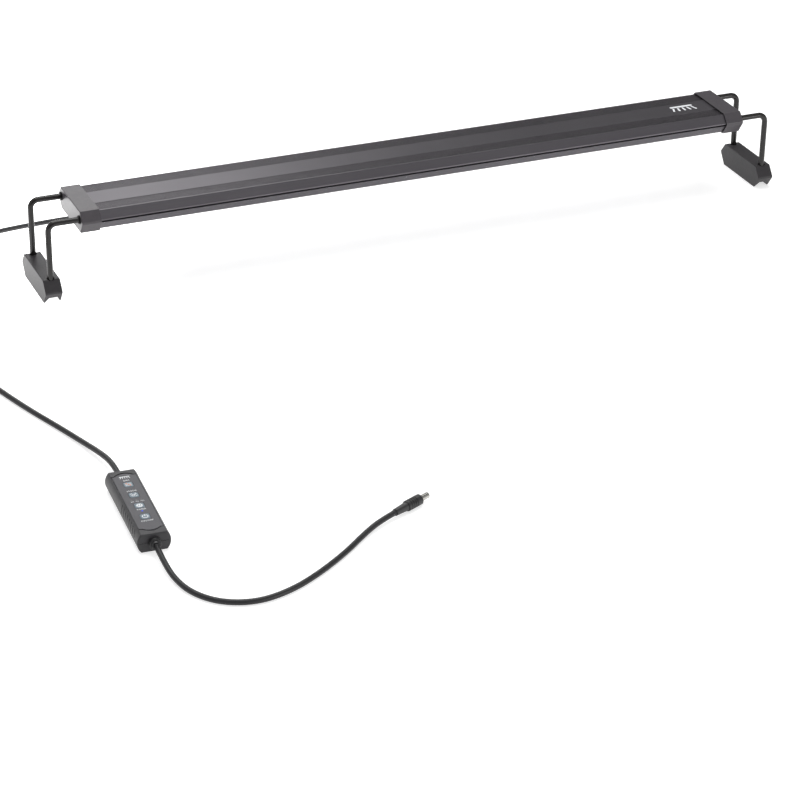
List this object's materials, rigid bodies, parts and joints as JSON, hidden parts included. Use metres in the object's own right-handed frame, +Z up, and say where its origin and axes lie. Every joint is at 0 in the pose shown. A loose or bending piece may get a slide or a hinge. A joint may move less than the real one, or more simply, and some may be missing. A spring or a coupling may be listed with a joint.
{
  "type": "led aquarium light",
  "caption": "Slim six-sided light bar for a fish tank, on two pull-out legs with slotted feet, with an inline dimmer and timer on its cord.",
  "frame": {"origin": "middle of the lamp's footprint, on the surface that its feet stand on", "axes": "+X along the bar towards the end where the cord leaves, +Y to the rear, +Z up"},
  "size_m": [0.9225, 0.7938, 0.0894],
  "materials": {
    "anodised_aluminium": "satin black anodised",
    "cap_plastic": "satin charcoal",
    "foot_plastic": "satin charcoal",
    "bush_plastic": "matt black",
    "guide_nylon": "natural nylon",
    "rod_steel": "gloss black enamel",
    "silicone": "grey silicone",
    "clear_cover": "clear polished acrylic",
    "gloss_black": "gloss black",
    "reflector": "metallised satin",
    "white_board": "white solder mask",
    "grey_tape": "matt",
    "component_black": "matt black",
    "connector_white": "moulded",
    "wire_insulation": "black insulation",
    "led_white": "white diode",
    "led_warm": "warm white diode",
    "led_red": "red diode",
    "led_colour": "colour-mixing diode",
    "relief_rubber": "satin black",
    "cord_pvc": "satin black",
    "plug_plastic": "satin black",
    "nickel": "nickel plated",
    "controller_plastic": "satin charcoal",
    "label_film": "fine textured film",
    "green_board": "green solder mask",
    "dot_grey": "smoked light guide",
    "status_blue": "blue light guide",
    "screw_steel": "zinc plated",
    "key_grey_blue": "satin translucent"
  },
  "bodies": {
    "lamp": {"bar_extrusion": "anodised_aluminium", "bezel_strips": "gloss_black", "board_resistors": "component_black", "board_terminal": "connector_white", "controller_base": "controller_plastic", "controller_circuit": "green_board", "controller_label": "label_film", "controller_leads": "wire_insulation", "controller_screws": "screw_steel", "controller_top": "controller_plastic", "cord_gland": "relief_rubber", "inlet_relief": "relief_rubber", "key_switches": "component_black", "lamp_cord": "cord_pvc", "lamp_leads": "wire_insulation", "led_board": "white_board", "leds_red": "led_red", "leds_rgb": "led_colour", "leds_warm": "led_warm", "leds_white": "led_white", "left_end_cap": "cap_plastic", "left_end_seal": "silicone", "left_rod_bushes": "bush_plastic", "lens_cover": "clear_cover", "outlet_relief": "relief_rubber", "plug_barrel": "nickel", "plug_body": "plug_plastic", "plug_contact": "nickel", "plug_insulator": "component_black", "reflector_strips": "reflector", "right_end_cap": "cap_plastic", "right_end_seal": "silicone", "right_rod_bushes": "bush_plastic", "status_light": "status_blue", "supply_cord": "cord_pvc", "thermal_tape": "grey_tape", "timer_dots": "dot_grey"},
    "left_leg": {"left_front_rod": "rod_steel", "left_rear_rod": "rod_steel", "left_rod_guides": "guide_nylon", "left_foot": "foot_plastic"},
    "right_leg": {"right_front_rod": "rod_steel", "right_rear_rod": "rod_steel", "right_rod_guides": "guide_nylon", "right_foot": "foot_plastic"},
    "dim_button": {"dim_key": "key_grey_blue"},
    "mode_button": {"mode_key": "key_grey_blue"},
    "timer_button": {"timer_key": "key_grey_blue"},
    "power_button": {"power_key": "key_grey_blue"}
  },
  "joints": [
    {"name": "left_leg_slide", "type": "slide", "parent": "lamp", "child": "left_leg", "axis": [-1, 0, 0], "range_m": [-0.02, 0.09]},
    {"name": "right_leg_slide", "type": "slide", "parent": "lamp", "child": "right_leg", "axis": [1, 0, 0], "range_m": [-0.02, 0.09]},
    {"name": "dim_press", "type": "slide", "parent": "lamp", "child": "dim_button", "axis": [0, 0, -1], "range_m": [0, 0.0004], "stiffness_N_per_m": 150},
    {"name": "mode_press", "type": "slide", "parent": "lamp", "child": "mode_button", "axis": [0, 0, -1], "range_m": [0, 0.0004], "stiffness_N_per_m": 150},
    {"name": "timer_press", "type": "slide", "parent": "lamp", "child": "timer_button", "axis": [0, 0, -1], "range_m": [0, 0.0004], "stiffness_N_per_m": 150},
    {"name": "power_press", "type": "slide", "parent": "lamp", "child": "power_button", "axis": [0, 0, -1], "range_m": [0, 0.0004], "stiffness_N_per_m": 150}
  ]
}
